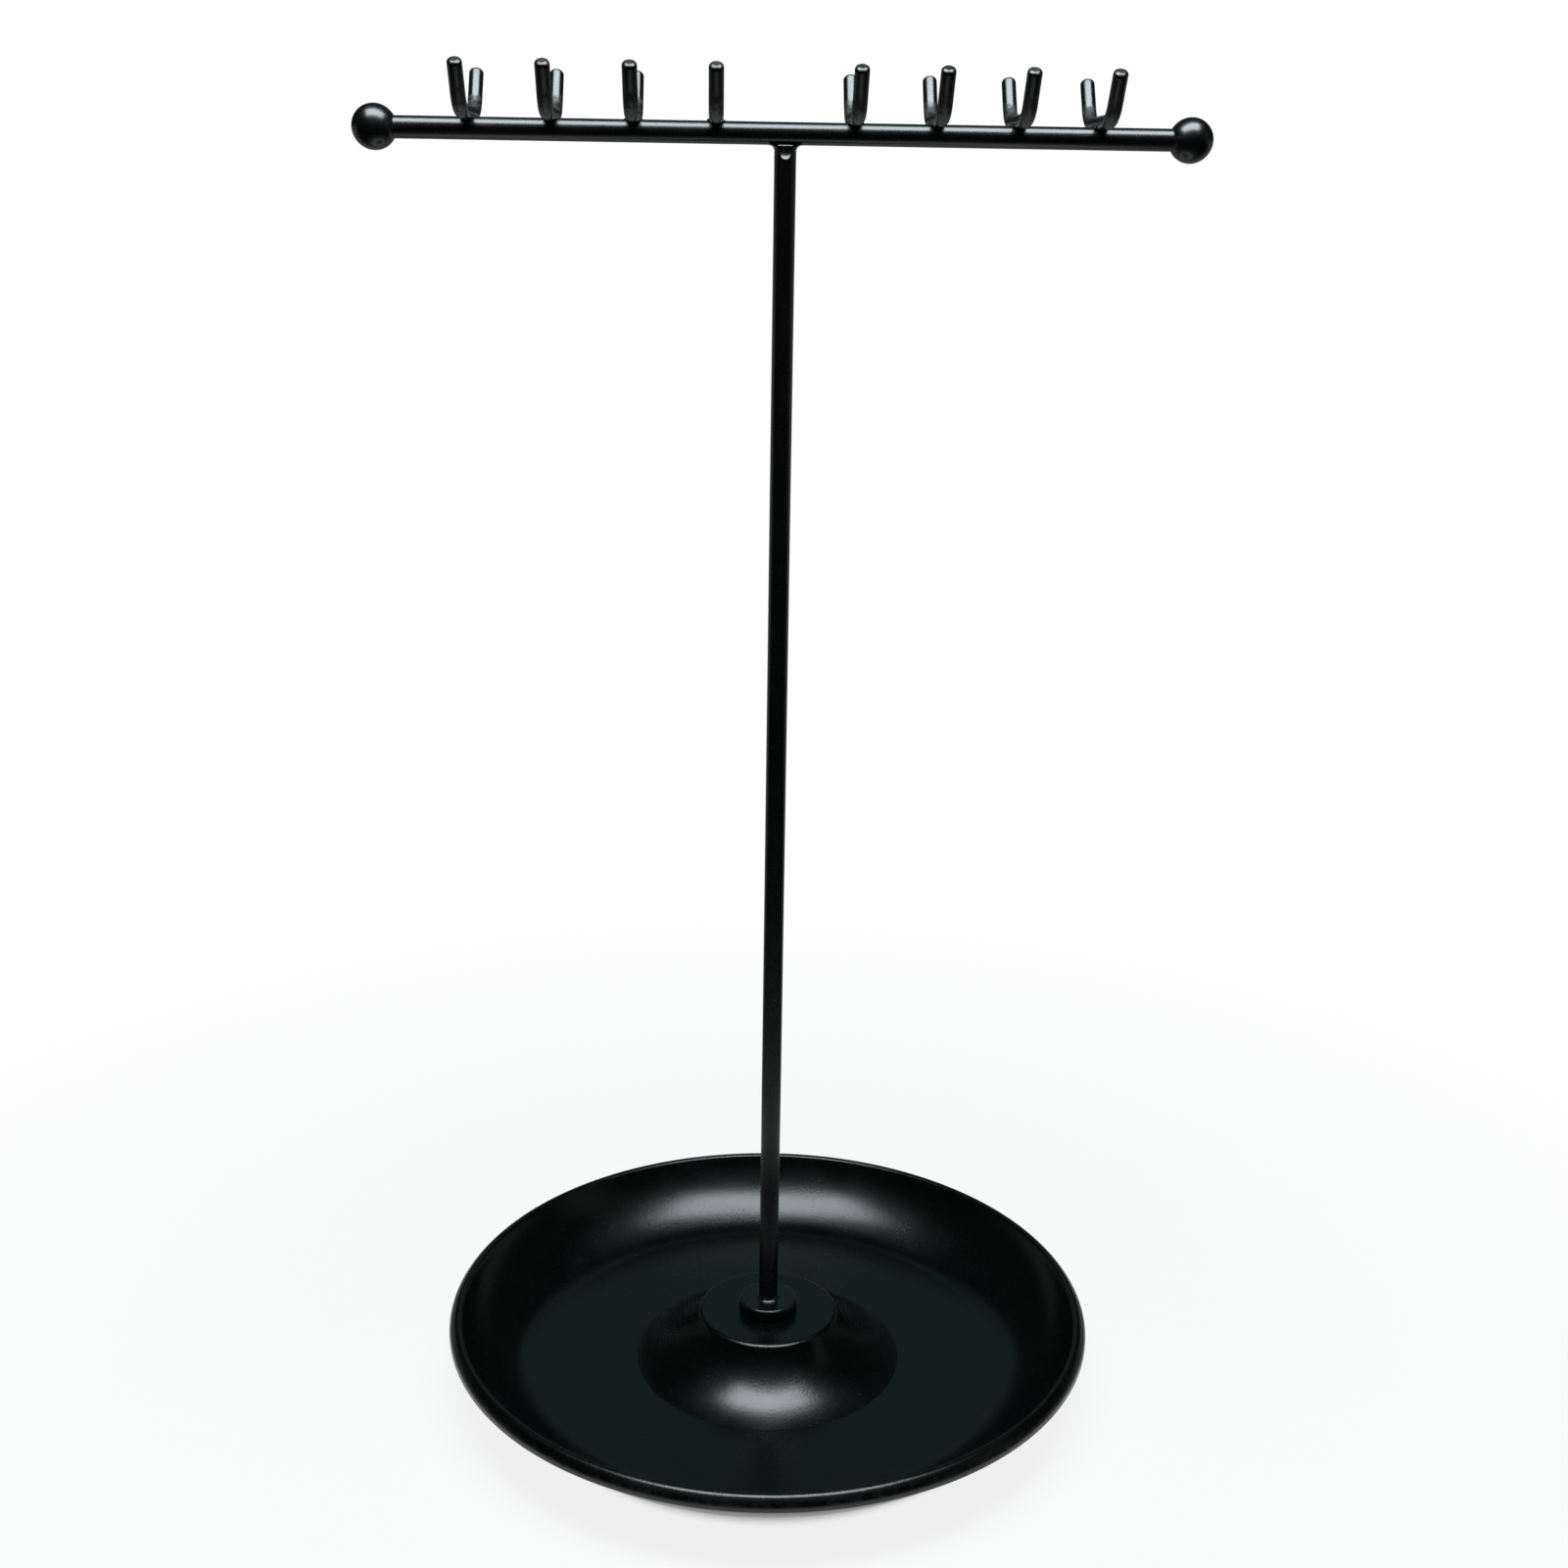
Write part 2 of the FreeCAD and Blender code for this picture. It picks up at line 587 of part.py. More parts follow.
def check_and_write():
    """Stops on any failed object or bad solid, then writes one file for each piece."""
    doc.recompute()
    for item in doc.Objects:
        if {"Invalid", "Error"} & set(item.State):
            raise RuntimeError(f"{item.Label} failed: {item.State}")
    for node in nodes:
        shape = node.Shape
        if shape.isNull() or not shape.isValid() or not shape.Solids:
            raise RuntimeError(f"{node.Label} has no valid solid")
    os.makedirs("parts", exist_ok=True)
    for node in nodes:
        node.Shape.exportStep(f"parts/{node.Label}.step")
        print(f"{node.Label}: {len(node.Shape.Solids)} solid, {node.Shape.Volume:.2f} cubic mm")


make_dish()
make_base_pad()
make_collar()
make_collar_weld()
make_post()
make_crossbar()
make_bar_weld()
make_ball("ball_left", -1)
make_ball("ball_right", 1)
hooks = hook_places()
for hook_number, hook_place in enumerate(hooks, start=1):
    make_hook(f"hook_{hook_number}", hook_place)
make_hook_welds(hooks)
make_flat_washer()
make_spring_washer()
make_hex_nut()
check_and_write()
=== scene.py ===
"""Looks of the jewellery stand: a black coated T-shaped mast with wire cradles, standing on a round dish.

Sizes are in millimetres and meshes in metres. The origin is on the table under the post, +Z is up and the
crossbar runs along X.
"""
import math

import bmesh
import bpy
from mathutils import Matrix, Vector, noise


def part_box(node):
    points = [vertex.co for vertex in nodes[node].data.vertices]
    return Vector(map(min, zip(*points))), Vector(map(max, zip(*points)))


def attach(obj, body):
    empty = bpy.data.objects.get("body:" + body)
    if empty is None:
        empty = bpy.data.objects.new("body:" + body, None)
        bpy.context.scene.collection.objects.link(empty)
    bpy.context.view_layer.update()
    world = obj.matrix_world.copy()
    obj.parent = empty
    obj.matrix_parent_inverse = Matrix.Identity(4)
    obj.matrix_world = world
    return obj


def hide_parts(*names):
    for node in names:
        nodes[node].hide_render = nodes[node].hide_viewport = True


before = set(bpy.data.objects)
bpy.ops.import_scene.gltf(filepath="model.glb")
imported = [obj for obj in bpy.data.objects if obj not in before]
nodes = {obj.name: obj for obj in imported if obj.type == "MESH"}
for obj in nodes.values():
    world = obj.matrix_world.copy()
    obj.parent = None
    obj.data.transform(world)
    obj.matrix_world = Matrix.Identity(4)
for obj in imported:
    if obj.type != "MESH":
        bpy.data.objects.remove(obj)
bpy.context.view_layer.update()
MM = 0.001

# Dish, pressed from sheet
SHEET = 1.1
PAD_TOP = 1.2
FLOOR_TOP = PAD_TOP + SHEET
BOSS_TOP = FLOOR_TOP + 8.2
RIM_TOP = FLOOR_TOP + 9.9
HOLE_RADIUS = 1.58
BOSS_RADIUS = 11.0
FOOT_RADIUS = 21.3
FLOOR_RADIUS = 38.8
WALL_RADIUS = 49.2
CREST_RADIUS = 50.05
RIM_RADIUS = 51.1
RIM_TURN = RIM_TOP - 1.05
RIM_UNDER = RIM_TOP - 2.2
FLANK_CURVE = 15.5
COVE_CURVE = 18.5
FLOOR_BLEND = 8.0
BOSS_EDGE_ROUND = 0.9
FOOT_ROUND = 0.5
LIP_ROUND = 0.6
CREST_ROUND = 1.1
RIM_ROUND = 1.5
UNDER_EDGE_ROUND = 0.2
HOLE_EDGE_ROUND = 0.15
RIM_CORNER_ROUND = 0.3
COVE_FOOT_ROUND = 1.5
FLANK_FOOT_ROUND = 3.0
FLANK_TOP_ROUND = 0.4

# Soft ring under the dish
PAD_OPENING_RADIUS = 23.0
PAD_BULGE = 0.12

# Mast
ROD_RADIUS = 1.5
BAR_AXIS = 191.6
STUD_END = 4.9
STUD_CHAMFER = 0.25
STUD_TOP = 9.3
ROD_START = 9.5
THREAD_DEPTH = 0.27
THREAD_PITCH = 0.5
THREAD_LENGTH = 3.6
THREAD_LEAD_IN = 0.4
RIDGE_RADIUS = 0.22
RIDGE_SINK = 0.24
COLLAR_TOP = 12.55
COLLAR_BEAD_LEG = 0.5
COLLAR_BEAD_SINK = 0.1
BEAD_UNDERCUT = 0.3
BALL_RADIUS = 3.048
BALL_PLACE = 55.4
BALL_NECK = 0.25
MARK_RADIUS = 1.6
MARK_DEPTH = 0.5
MARK_LENGTH = 2.3

# Wire cradles
WIRE_RADIUS = 1.0
CRADLE_SEAT = 2.0
CRADLE_REACH = 8.4
HALF_FLAT = 5.4
BEND_RADIUS = 5.0
PRONG_RISE = math.radians(55)
TIP_ROUND = 0.5
SOLID_TIP_ROUND = 0.45
INNER_CRADLE = 9.4
CRADLE_PITCH = 33.5 / 3
CRADLES_PER_SIDE = 4
BEAD_HALF_SIZE = (0.42, 0.95, 0.36)
BEAD_SIDE = 0.86
BEAD_SINK = 0.12
BEAD_UNEVENNESS = 0.35

# Fineness of the meshes
DISH_SEGMENTS = 240
PAD_SEGMENTS = 200
BEAD_SEGMENTS = 180
ROD_SEGMENTS = 96
BALL_STEPS = 48
MOST_OF_SIDE = 0.54


# ---------------------------------------------------------------- meshes

def arc_centre(start, end, radius, turn=1):
    """Centre of an arc from start to end, turning left for 1 and right for -1."""
    start, end = Vector(start), Vector(end)
    chord = end - start
    across = Vector((-chord.y, chord.x)).normalized()
    return (start + end) / 2 + across * turn * math.sqrt(radius ** 2 - (chord.length / 2) ** 2)


def arc(start, end, radius, turn, count):
    """Points of an arc after start and before end."""
    start, end = Vector(start), Vector(end)
    centre = arc_centre(start, end, radius, turn)
    sweep = 2 * math.asin((end - start).length / 2 / radius)
    steps = ((start - centre, turn * sweep * step / count) for step in range(1, count))
    return [tuple(centre + Matrix.Rotation(angle, 2) @ spoke) for spoke, angle in steps]


def rounded(corners, steps=6):
    """A closed outline with its corners rounded; a corner is (x, y) or (x, y, radius)."""
    points = []
    count = len(corners)
    for number, corner in enumerate(corners):
        here = Vector(corner[:2])
        if len(corner) == 2:
            points.append(here)
            continue
        before = Vector(corners[number - 1][:2]) - here
        after = Vector(corners[(number + 1) % count][:2]) - here
        turn = math.pi - before.angle(after)
        most = [MOST_OF_SIDE * side.length for side in (before, after)]
        reach = min(corner[2] * math.tan(turn / 2), *most)
        radius = reach / math.tan(turn / 2)
        first, last = here + before.normalized() * reach, here + after.normalized() * reach
        side = 1 if before.cross(after) < 0 else -1
        points += [first, *map(Vector, arc(first, last, radius, side, steps)), last]
    return points


def divided(points, longest, edge=0.12):
    """A closed outline with long runs divided, and divided once more close to their ends."""
    result = []
    for here, after in zip(points, points[1:] + points[:1]):
        result.append(here)
        run = after - here
        if run.length > longest:
            count = math.ceil(run.length / longest)
            near = edge / run.length
            shares = [near, *(step / count for step in range(1, count)), 1 - near]
            result += [here + run * share for share in shares]
    return result


def finished(name, mesh, finish, body, slot, *replaced):
    """A piece of the stand from its mesh: named, coated, riding on its body."""
    mesh.name = name
    for face in mesh.polygons:
        face.use_smooth = True
    piece = bpy.data.objects.new(name, mesh)
    bpy.context.scene.collection.objects.link(piece)
    if not mesh.materials:
        mesh.materials.append(finish)
    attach(piece, body)
    if replaced:
        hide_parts(*replaced)
    return piece


def turned(outline, segments, axis=Matrix(), shape=None):
    """A mesh turned round Z from a closed outline of (radius, height), then laid along an axis."""
    shell = bmesh.new()
    rings = []
    for segment in range(segments):
        angle = 2 * math.pi * segment / segments
        ring = []
        for radius, height in outline:
            if shape:
                radius, height = shape(radius, height, angle)
            place = Vector((radius * math.cos(angle), radius * math.sin(angle), height))
            ring.append(shell.verts.new(axis @ (place * MM)))
        rings.append(ring)
    count = len(outline)
    for one, other in zip(rings, rings[1:] + rings[:1]):
        for step in range(count):
            following = (step + 1) % count
            shell.faces.new((one[step], other[step], other[following], one[following]))
    return closed(shell)


def closed(shell):
    """The mesh of a closed shell, with its doubles merged and its faces outwards."""
    bmesh.ops.remove_doubles(shell, verts=shell.verts, dist=1e-7)
    bmesh.ops.dissolve_degenerate(shell, edges=shell.edges, dist=1e-8)
    bmesh.ops.recalc_face_normals(shell, faces=shell.faces)
    mesh = bpy.data.meshes.new("shell")
    shell.to_mesh(mesh)
    shell.free()
    return mesh


# ---------------------------------------------------------------- node trees

def add_node(tree, kind, inputs=None, **settings):
    """A node with its settings, and its inputs set to values or joined to other nodes' outputs."""
    node = tree.nodes.new(kind)
    for key, setting in settings.items():
        setattr(node, key, setting)
    for key, source in (inputs or {}).items():
        if isinstance(source, bpy.types.NodeSocket):
            tree.links.new(source, node.inputs[key])
        else:
            node.inputs[key].default_value = source
    return node


def maths(tree, operation, *values, clamp=False):
    """The output of a sum on numbers or sockets."""
    inputs = dict(enumerate(values))
    return add_node(tree, "ShaderNodeMath", inputs, operation=operation, use_clamp=clamp).outputs[0]


def new_shape_tree(name, inputs):
    """An empty geometry tree with named inputs, and its group input node."""
    tree = bpy.data.node_groups.new(name, "GeometryNodeTree")
    for label, kind in inputs.items():
        tree.interface.new_socket(label, in_out="INPUT", socket_type=f"NodeSocket{kind}")
    tree.interface.new_socket("Geometry", in_out="OUTPUT", socket_type="NodeSocketGeometry")
    return tree, tree.nodes.new("NodeGroupInput").outputs


def end_shape_tree(tree, geometry, finish):
    """Real, smooth, coated geometry as the tree's result."""
    real = add_node(tree, "GeometryNodeRealizeInstances", {"Geometry": geometry}).outputs[0]
    smooth = add_node(tree, "GeometryNodeSetShadeSmooth", {0: real}).outputs[0]
    coated = add_node(tree, "GeometryNodeSetMaterial", {"Geometry": smooth, "Material": finish}).outputs[0]
    add_node(tree, "NodeGroupOutput", {0: coated})


def grown(tree, values):
    """The plain mesh that a geometry tree makes from values for its named inputs."""
    seed = bpy.data.objects.new("seed", bpy.data.meshes.new("seed"))
    bpy.context.scene.collection.objects.link(seed)
    modifier = seed.modifiers.new("shape", "NODES")
    modifier.node_group = tree
    sockets = {item.name: item.identifier for item in tree.interface.items_tree if item.in_out == "INPUT"}
    for label, setting in values.items():
        modifier[sockets[label]] = setting
    depsgraph = bpy.context.evaluated_depsgraph_get()
    mesh = bpy.data.meshes.new_from_object(seed.evaluated_get(depsgraph), depsgraph=depsgraph)
    seed.modifiers.remove(modifier)
    bpy.data.objects.remove(seed)
    return mesh


# ---------------------------------------------------------------- finishes

# Black coat: colours, patterns in repeats per metre, heights in millimetres, and what each adds to roughness
COAT_DEEP = (0.0002, 0.0006, 0.0005)
COAT_PALE = (0.0005, 0.0012, 0.0011)
COAT_WORN = (0.0030, 0.0046, 0.0045)
CLOUD_SCALE = 160
FINE_SCALE = 2300
WAVE_SCALE = 420
NIB_SCALE = 1500
PATCH_SCALE = 700
CRUST_SCALE = 1300
WAVE_HEIGHT = 0.05
GRAIN_HEIGHT = 0.02
CLOUD_ROUGH = 0.04
FINE_ROUGH = 0.05
WORN_ROUGH = 0.08
CRUST_ROUGH = 0.42

# Foam of the soft ring
# Painted shade for the foam's cell hollows
FOAM_PIT_SHADE = (0.016, 0.016, 0.017)
FOAM_SKIN = (0.038, 0.038, 0.040)
FOAM_DUST = (0.055, 0.054, 0.053)
CELL_SCALE = 1900.0
FOAM_CLOUD_SCALE = 240
CELL_DEPTH = 0.08

# Zinc plate of the fasteners
ZINC_DULL = (0.50, 0.51, 0.50)
ZINC_BRIGHT = (0.66, 0.66, 0.63)
TURNING_SCALE = 9000
ZINC_CLOUD_SCALE = 500
TURNING_DEPTH = 0.03


def new_finish(name):
    """A material with one main shader, and that shader."""
    material = bpy.data.materials.new(name)
    material.use_nodes = True
    return material, material.node_tree, material.node_tree.nodes["Principled BSDF"]


def grain(tree, place, scale, detail=2.0, roughness=0.5):
    """A noise pattern on the piece's own coordinates."""
    inputs = {"Vector": place, "Scale": scale, "Detail": detail, "Roughness": roughness}
    return add_node(tree, "ShaderNodeTexNoise", inputs).outputs["Fac"]


def spread(tree, source, low, high, to_low, to_high, soft=False):
    """A value moved from one range to another."""
    kind = "SMOOTHSTEP" if soft else "LINEAR"
    inputs = {"Value": source, "From Min": low, "From Max": high, "To Min": to_low, "To Max": to_high}
    return add_node(tree, "ShaderNodeMapRange", inputs, interpolation_type=kind, clamp=True).outputs["Result"]


def blended(tree, share, one, other):
    """A colour between two colours or sockets."""
    node = add_node(tree, "ShaderNodeMix", data_type="RGBA")
    tree.links.new(share, node.inputs["Factor"])
    for socket, colour in zip([item for item in node.inputs if item.type == "RGBA"], (one, other)):
        if isinstance(colour, bpy.types.NodeSocket):
            tree.links.new(colour, socket)
        else:
            socket.default_value = (*colour, 1)
    return next(item for item in node.outputs if item.type == "RGBA")


def from_post(tree, place):
    """Distance from the post's axis."""
    flat = add_node(tree, "ShaderNodeVectorMath", {0: place, 1: (1, 1, 0)}, operation="MULTIPLY")
    return add_node(tree, "ShaderNodeVectorMath", {0: flat.outputs[0]}, operation="LENGTH").outputs["Value"]


def crust(tree, place, *limits):
    """Share of a lumpy crust past a reach from the bar and between two heights."""
    reach, low, high = (limit * MM for limit in limits)
    axes = add_node(tree, "ShaderNodeSeparateXYZ", {0: place}).outputs
    share = spread(tree, maths(tree, "ABSOLUTE", axes["Y"]), reach, reach + 1.0 * MM, 0, 1, soft=True)
    above = spread(tree, axes["Z"], low, low + 0.5 * MM, 0, 1, soft=True)
    below = spread(tree, axes["Z"], high - 0.7 * MM, high, 1, 0, soft=True)
    lumps = spread(tree, grain(tree, place, CRUST_SCALE, 2), 0.4, 0.6, 0.25, 1, soft=True)
    for part in (above, below, lumps):
        share = maths(tree, "MULTIPLY", share, part)
    return share


def black_coat(name, gloss, dullness, grit, worn_rings=(), worn_heights=None, crusty_bends=None):
    """Stoved black coat: fine grain, soft waviness, nibs of dust, worn edges and rough bends.

    gloss is the coat's refractive index, dullness its least roughness and grit the strength of its grain.
    The rest is in millimetres. worn_rings are radii round the post where the coat is rubbed thin.
    worn_heights are two heights between which it grows worn. crusty_bends are the reach from the bar, and the
    lower and upper height, of the bends where it has stayed rough.
    """
    material, tree, shader = new_finish(name)
    place = add_node(tree, "ShaderNodeTexCoord").outputs["Object"]
    clouds = grain(tree, place, CLOUD_SCALE, 3)
    fine = grain(tree, place, FINE_SCALE, 2)
    waves = grain(tree, place, WAVE_SCALE, 1)
    nibs = spread(tree, grain(tree, place, NIB_SCALE, 1), 0.70, 0.78, 0, 1, soft=True)
    colour = blended(tree, spread(tree, clouds, 0.3, 0.7, 0, 1), COAT_DEEP, COAT_PALE)
    rough = spread(tree, clouds, 0.3, 0.7, dullness, dullness + CLOUD_ROUGH)
    masks = []
    if worn_rings:
        radius = from_post(tree, place)
        for ring in worn_rings:
            miss = maths(tree, "ABSOLUTE", maths(tree, "SUBTRACT", radius, ring * MM))
            masks.append(spread(tree, miss, 0.15 * MM, 0.5 * MM, 1, 0, soft=True))
    if worn_heights:
        height = add_node(tree, "ShaderNodeSeparateXYZ", {0: place}).outputs["Z"]
        masks.append(spread(tree, height, worn_heights[0] * MM, worn_heights[1] * MM, 0, 1, soft=True))
    for mask in masks:
        patches = spread(tree, grain(tree, place, PATCH_SCALE, 3), 0.42, 0.62, 0, 1, soft=True)
        worn = maths(tree, "MULTIPLY", mask, patches)
        colour = blended(tree, worn, colour, COAT_WORN)
        rough = maths(tree, "ADD", rough, maths(tree, "MULTIPLY", worn, WORN_ROUGH))
    if crusty_bends:
        crusted = crust(tree, place, *crusty_bends)
        rough = maths(tree, "ADD", rough, maths(tree, "MULTIPLY", crusted, CRUST_ROUGH))
    specks = spread(tree, fine, 0.52, 0.72, 0, 0.4, soft=True)
    dust = maths(tree, "MAXIMUM", specks, maths(tree, "MULTIPLY", nibs, 0.6))
    colour = blended(tree, dust, colour, COAT_WORN)
    rough = maths(tree, "ADD", rough, maths(tree, "MULTIPLY", fine, FINE_ROUGH))
    wavy = add_node(tree, "ShaderNodeBump", {"Height": waves, "Strength": 0.12, "Distance": WAVE_HEIGHT * MM})
    bumps = maths(tree, "ADD", fine, maths(tree, "MULTIPLY", nibs, 0.8))
    bump = add_node(tree, "ShaderNodeBump", {
        "Height": bumps, "Strength": grit, "Distance": GRAIN_HEIGHT * MM, "Normal": wavy.outputs[0]})
    tree.links.new(colour, shader.inputs["Base Color"])
    tree.links.new(rough, shader.inputs["Roughness"])
    tree.links.new(bump.outputs[0], shader.inputs["Normal"])
    shader.inputs["IOR"].default_value = gloss
    return material


def soft_foam(name):
    """Closed-cell foam: dull charcoal skin with small cells, their hollows coloured darker as painted shade.
    """
    material, tree, shader = new_finish(name)
    place = add_node(tree, "ShaderNodeTexCoord").outputs["Object"]
    cells = add_node(tree, "ShaderNodeTexVoronoi", {"Vector": place, "Scale": CELL_SCALE}).outputs["Distance"]
    clouds = grain(tree, place, FOAM_CLOUD_SCALE, 3)
    pits = spread(tree, cells, 0.1, 0.6, 0, 1, soft=True)
    # Painted shade: the cell hollows, sunk by the bump below, are coloured darker
    colour = blended(tree, pits, FOAM_PIT_SHADE, FOAM_SKIN)
    colour = blended(tree, spread(tree, clouds, 0.35, 0.7, 0, 0.5), colour, FOAM_DUST)
    bump = add_node(tree, "ShaderNodeBump", {"Height": pits, "Strength": 0.5, "Distance": CELL_DEPTH * MM})
    tree.links.new(colour, shader.inputs["Base Color"])
    tree.links.new(spread(tree, clouds, 0.3, 0.7, 0.78, 0.92), shader.inputs["Roughness"])
    tree.links.new(bump.outputs[0], shader.inputs["Normal"])
    return material


def zinc_plate(name):
    """Bright zinc plate with turning marks and dull patches."""
    material, tree, shader = new_finish(name)
    place = add_node(tree, "ShaderNodeTexCoord").outputs["Object"]
    rings = add_node(tree, "ShaderNodeCombineXYZ", {"X": from_post(tree, place)}).outputs[0]
    turning = grain(tree, rings, TURNING_SCALE, 2)
    clouds = grain(tree, place, ZINC_CLOUD_SCALE, 3)
    colour = blended(tree, spread(tree, clouds, 0.3, 0.7, 0, 1), ZINC_DULL, ZINC_BRIGHT)
    rough = spread(tree, clouds, 0.3, 0.7, 0.24, 0.4)
    rough = maths(tree, "ADD", rough, maths(tree, "MULTIPLY", turning, 0.1))
    bump = add_node(tree, "ShaderNodeBump", {
        "Height": turning, "Strength": 0.25, "Distance": TURNING_DEPTH * MM})
    tree.links.new(colour, shader.inputs["Base Color"])
    tree.links.new(rough, shader.inputs["Roughness"])
    tree.links.new(bump.outputs[0], shader.inputs["Normal"])
    shader.inputs["Metallic"].default_value = 1.0
    return material


# ---------------------------------------------------------------- pieces

def make_dish(finish):
    """Pressed dish: flat boss, hollow flank, flat floor, coved wall and rolled rim."""
    foot, floor_edge = (FOOT_RADIUS, FLOOR_TOP), (FLOOR_RADIUS, FLOOR_TOP)
    boss, wall = (BOSS_RADIUS, BOSS_TOP), (WALL_RADIUS, RIM_TOP)
    boss_under = BOSS_TOP - SHEET

    def width_at(centre, radius, height):
        """Half the width of a circle at a height."""
        return math.sqrt(radius ** 2 - (height - centre.y) ** 2)

    cove_centre = arc_centre(floor_edge, wall, COVE_CURVE)
    flank_centre = arc_centre(boss, foot, FLANK_CURVE)
    blend_height = FLOOR_TOP + FLOOR_BLEND
    blend_reach = width_at(cove_centre, COVE_CURVE - FLOOR_BLEND, blend_height)
    blend_centre = Vector((cove_centre.x + blend_reach, blend_height))
    blend_start = (blend_centre.x, FLOOR_TOP)
    blend_end = tuple(cove_centre + (blend_centre - cove_centre).normalized() * COVE_CURVE)
    blend = [blend_start, *arc(blend_start, blend_end, FLOOR_BLEND, 1, 12), blend_end]
    flank = [point for point in arc(boss, foot, FLANK_CURVE, 1, 24) if math.dist(point, boss) > 1.0]
    cove = [point for point in arc(blend_end, wall, COVE_CURVE, 1, 20) if math.dist(point, wall) > 1.2]
    upper = [
        (HOLE_RADIUS, BOSS_TOP, HOLE_EDGE_ROUND), (*boss, BOSS_EDGE_ROUND), *flank,
        (*foot, FOOT_ROUND), *blend, *cove, (*wall, LIP_ROUND),
    ]
    rim = [
        (CREST_RADIUS, RIM_TOP, CREST_ROUND), (RIM_RADIUS, RIM_TURN, RIM_ROUND),
        (RIM_RADIUS, RIM_UNDER, UNDER_EDGE_ROUND),
    ]
    cove_out, flank_out = COVE_CURVE + SHEET, FLANK_CURVE + SHEET
    cove_top = (cove_centre.x + width_at(cove_centre, cove_out, RIM_UNDER), RIM_UNDER)
    cove_foot = (cove_centre.x + width_at(cove_centre, cove_out, PAD_TOP), PAD_TOP)
    flank_foot = (flank_centre.x - width_at(flank_centre, flank_out, PAD_TOP), PAD_TOP)
    flank_top = (flank_centre.x - width_at(flank_centre, flank_out, boss_under), boss_under)
    lower = [
        (*cove_top, RIM_CORNER_ROUND), *arc(cove_top, cove_foot, cove_out, -1, 22),
        (*cove_foot, COVE_FOOT_ROUND), (*flank_foot, FLANK_FOOT_ROUND),
        *arc(flank_foot, flank_top, flank_out, -1, 22), (*flank_top, FLANK_TOP_ROUND),
        (HOLE_RADIUS, boss_under, HOLE_EDGE_ROUND),
    ]
    outline = divided(rounded(upper + rim + lower), 1.6)
    return finished("dish_shell", turned(outline, DISH_SEGMENTS), finish, "base", "black_coat", "dish")


def make_foam_ring(finish):
    """Soft ring under the dish, with bulging sides and rounded edges."""
    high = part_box("base_pad")[1]
    outer, height = high.x / MM, high.z / MM
    inner_edge, outer_edge = PAD_OPENING_RADIUS + PAD_BULGE, outer - PAD_BULGE
    corners = [
        (inner_edge, 0, 0.2), (outer_edge, 0, 0.2), (outer, height * 0.5, 0.8),
        (outer_edge, height, 0.25), (inner_edge, height, 0.25), (PAD_OPENING_RADIUS, height * 0.5, 0.8),
    ]
    mesh = turned(divided(rounded(corners), 1.5), PAD_SEGMENTS)
    ring = finished("foam_ring", mesh, finish, "base", "soft_pad", "base_pad")
    return ring


def make_post(finish):
    """Rod with a chamfered, cut-back stud below the boss and the clamp's two marks below the crossbar."""
    root = ROD_RADIUS - THREAD_DEPTH
    rows = [
        (root - STUD_CHAMFER, STUD_END), (root, STUD_END + STUD_CHAMFER), (root, STUD_TOP),
        (ROD_RADIUS, ROD_START),
    ]
    near_mark = [BAR_AXIS - ROD_RADIUS - MARK_LENGTH - 1.0 + 0.06 * step for step in range(55)]
    shaft = [ROD_START + 1.0 + 4.0 * step for step in range(44)]
    rows += [(ROD_RADIUS, height) for height in shaft if height < near_mark[0] - 0.5]
    rows += [(ROD_RADIUS, height) for height in near_mark]
    cutter = ROD_RADIUS + MARK_RADIUS - MARK_DEPTH
    shoulder = BAR_AXIS - ROD_RADIUS - MARK_LENGTH + MARK_RADIUS
    shell = bmesh.new()
    rings = []
    for radius, height in rows:
        ring = []
        for segment in range(ROD_SEGMENTS):
            angle = 2 * math.pi * segment / ROD_SEGMENTS
            x, y = radius * math.cos(angle), radius * math.sin(angle)
            drop = max(0.0, shoulder - height)
            reach = MARK_RADIUS ** 2 - x ** 2 - drop ** 2
            if reach > 0:
                y = math.copysign(min(abs(y), cutter - math.sqrt(reach)), y)
            ring.append(shell.verts.new(Vector((x, y, height)) * MM))
        rings.append(ring)
    for one, other in zip(rings, rings[1:]):
        for step in range(ROD_SEGMENTS):
            following = (step + 1) % ROD_SEGMENTS
            shell.faces.new((one[step], one[following], other[following], other[step]))
    for ring in (rings[0], rings[-1]):
        shell.faces.new(ring)
    return finished("post_rod", closed(shell), finish, "mast", "black_coat", "post")


def make_stud_thread(finish):
    """Thread on the stud below the boss, a ridge along a spiral."""
    tree, given = new_shape_tree("stud_thread", {
        "Root radius": "Float", "Ridge": "Float", "Length": "Float", "Turns": "Float", "Start": "Float",
        "Finish": "Material"})
    spiral = add_node(tree, "GeometryNodeCurveSpiral", {
        "Resolution": 40, "Rotations": given["Turns"], "Start Radius": given["Root radius"],
        "End Radius": given["Root radius"], "Height": given["Length"]}).outputs[0]
    lift = add_node(tree, "ShaderNodeCombineXYZ", {"Z": given["Start"]}).outputs[0]
    raised = add_node(tree, "GeometryNodeTransform", {"Geometry": spiral, "Translation": lift}).outputs[0]
    ridge = add_node(tree, "GeometryNodeCurvePrimitiveCircle", {"Resolution": 6, "Radius": given["Ridge"]})
    solid = add_node(tree, "GeometryNodeCurveToMesh", {
        "Curve": raised, "Profile Curve": ridge.outputs[0], "Fill Caps": True}).outputs[0]
    end_shape_tree(tree, solid, given["Finish"])
    mesh = grown(tree, {
        "Root radius": (ROD_RADIUS - RIDGE_SINK) * MM,
        "Ridge": RIDGE_RADIUS * MM,
        "Length": THREAD_LENGTH * MM,
        "Turns": THREAD_LENGTH / THREAD_PITCH,
        "Start": (STUD_END + THREAD_LEAD_IN) * MM,
        "Finish": finish,
    })
    return finished("stud_thread", mesh, finish, "mast", "black_coat")


